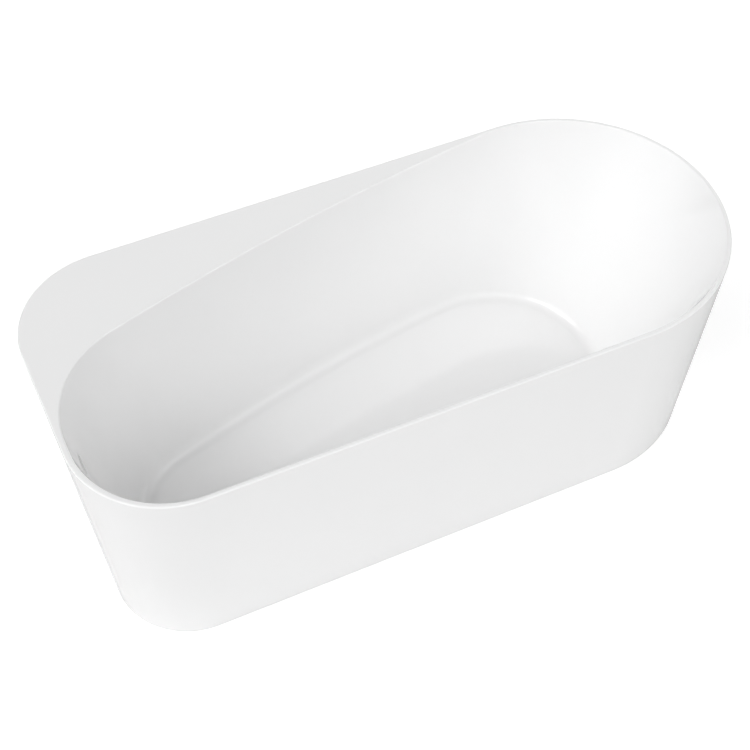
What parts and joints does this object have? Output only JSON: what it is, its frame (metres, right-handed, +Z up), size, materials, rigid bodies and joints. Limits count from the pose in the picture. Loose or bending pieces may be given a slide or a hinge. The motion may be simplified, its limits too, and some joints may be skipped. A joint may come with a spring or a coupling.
{
  "type": "freestanding bathtub",
  "caption": "Freestanding double-wall bath with a leaning apron, one half-round end, a teardrop basin and a flat deck behind it, on screw feet, with waste, trap and slot overflow.",
  "frame": {"origin": "on the floor, under the middle of the bath's length and width", "axes": "+X along the bath towards the half-round reclining end, +Y towards the deck side, +Z up"},
  "size_m": [1.6992, 0.7742, 0.58],
  "materials": {
    "sanitary_acrylic": "gloss white",
    "laminate": "rough glass laminate",
    "timber_board": "raw board",
    "frame_steel": "grey powder coat",
    "zinc_steel": "zinc plated",
    "foot_plastic": "black",
    "chrome": "polished",
    "brass": "turned",
    "rubber": "matt",
    "hose_plastic": "soft corrugated",
    "trim_plastic": "gloss white",
    "fitting_plastic": "moulded white"
  },
  "bodies": {
    "tub": {"apron_blocks": "timber_board", "apron_shell": "sanitary_acrylic", "apron_straps": "zinc_steel", "base_board": "timber_board", "basin_backing": "laminate", "basin_shell": "sanitary_acrylic", "deck_board": "timber_board", "foot_lock_nuts": "zinc_steel", "foot_weld_nuts": "zinc_steel", "frame_crossbars": "frame_steel", "frame_rails": "frame_steel", "frame_screws": "zinc_steel", "hose_clips": "zinc_steel", "overflow_elbow": "fitting_plastic", "overflow_hose": "hose_plastic", "overflow_seal": "rubber", "overflow_trim": "trim_plastic", "plug_cartridge": "fitting_plastic", "plug_spring": "zinc_steel", "strap_screws": "zinc_steel", "trap_body": "fitting_plastic", "trap_bowl": "fitting_plastic", "trap_inlet_nut": "fitting_plastic", "trap_inlet_washer": "rubber", "trap_outlet_nut": "fitting_plastic", "trap_outlet_seal": "rubber", "waste_back_nut": "fitting_plastic", "waste_flange": "chrome", "waste_lower_seal": "rubber", "waste_tee": "fitting_plastic", "waste_upper_seal": "rubber"},
    "plug": {"plug_cap": "chrome", "plug_stem": "brass", "plug_gasket": "rubber"},
    "foot_1": {"foot_pad_1": "foot_plastic"},
    "stud_1": {"foot_stud_1": "zinc_steel"},
    "foot_2": {"foot_pad_2": "foot_plastic"},
    "stud_2": {"foot_stud_2": "zinc_steel"},
    "foot_3": {"foot_pad_3": "foot_plastic"},
    "stud_3": {"foot_stud_3": "zinc_steel"},
    "foot_4": {"foot_pad_4": "foot_plastic"},
    "stud_4": {"foot_stud_4": "zinc_steel"},
    "foot_5": {"foot_pad_5": "foot_plastic"},
    "stud_5": {"foot_stud_5": "zinc_steel"}
  },
  "joints": [
    {"name": "plug_lift", "type": "slide", "parent": "tub", "child": "plug", "axis": [0, 0, 1], "range_m": [0, 0.009], "deforming": ["plug_spring"]},
    {"name": "foot_1_height", "type": "slide", "parent": "tub", "child": "foot_1", "axis": [0, 0, -1], "range_m": [-0.01, 0.015]},
    {"name": "stud_1_turn", "type": "hinge", "parent": "foot_1", "child": "stud_1", "pos_m": [-0.48, -0.19, 0.05], "axis": [0, 0, -1], "range_deg": [-2063, 3091]},
    {"name": "foot_2_height", "type": "slide", "parent": "tub", "child": "foot_2", "axis": [0, 0, -1], "range_m": [-0.01, 0.015]},
    {"name": "stud_2_turn", "type": "hinge", "parent": "foot_2", "child": "stud_2", "pos_m": [-0.48, 0.07, 0.05], "axis": [0, 0, -1], "range_deg": [-2063, 3091]},
    {"name": "foot_3_height", "type": "slide", "parent": "tub", "child": "foot_3", "axis": [0, 0, -1], "range_m": [-0.01, 0.015]},
    {"name": "stud_3_turn", "type": "hinge", "parent": "foot_3", "child": "stud_3", "pos_m": [0.4, -0.19, 0.05], "axis": [0, 0, -1], "range_deg": [-2063, 3091]},
    {"name": "foot_4_height", "type": "slide", "parent": "tub", "child": "foot_4", "axis": [0, 0, -1], "range_m": [-0.01, 0.015]},
    {"name": "stud_4_turn", "type": "hinge", "parent": "foot_4", "child": "stud_4", "pos_m": [0.4, 0.07, 0.05], "axis": [0, 0, -1], "range_deg": [-2063, 3091]},
    {"name": "foot_5_height", "type": "slide", "parent": "tub", "child": "foot_5", "axis": [0, 0, -1], "range_m": [-0.01, 0.015]},
    {"name": "stud_5_turn", "type": "hinge", "parent": "foot_5", "child": "stud_5", "pos_m": [-0.04, -0.06, 0.05], "axis": [0, 0, -1], "range_deg": [-2063, 3091]}
  ],
  "couplings": [
    {"joint": "stud_1_turn", "follows": "foot_1_height", "rad_per_m": 3590.4},
    {"joint": "stud_2_turn", "follows": "foot_2_height", "rad_per_m": 3590.4},
    {"joint": "stud_3_turn", "follows": "foot_3_height", "rad_per_m": 3590.4},
    {"joint": "stud_4_turn", "follows": "foot_4_height", "rad_per_m": 3590.4},
    {"joint": "stud_5_turn", "follows": "foot_5_height", "rad_per_m": 3590.4}
  ]
}
